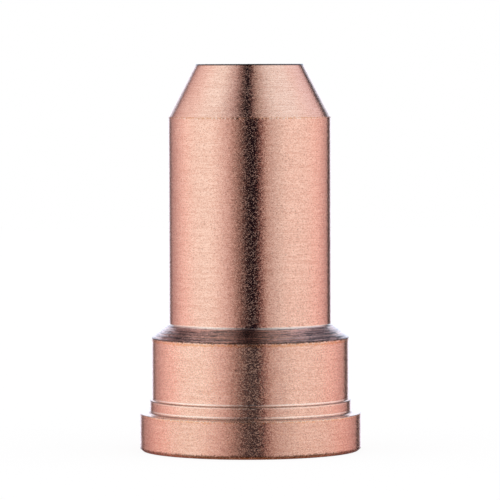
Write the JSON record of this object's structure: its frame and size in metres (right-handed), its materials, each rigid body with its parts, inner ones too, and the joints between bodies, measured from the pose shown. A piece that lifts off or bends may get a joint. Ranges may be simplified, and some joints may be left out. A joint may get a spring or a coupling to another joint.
{
  "type": "plasma torch nozzle",
  "caption": "Extended plasma torch nozzle turned from copper: slim barrel with a coned nose and a fine orifice, stepped spigot and flange, bored from the rear for the electrode.",
  "frame": {"origin": "centre of the rear face, which it stands on", "axes": "+Z along the turning axis, from the rear face to the nose; X and Y are free"},
  "size_m": [0.02, 0.02, 0.0349],
  "materials": {
    "copper": "bright turned copper with fine turning lines round the axis and small burrs on its edges"
  },
  "bodies": {
    "root": {"nozzle": "copper"}
  },
  "joints": []
}
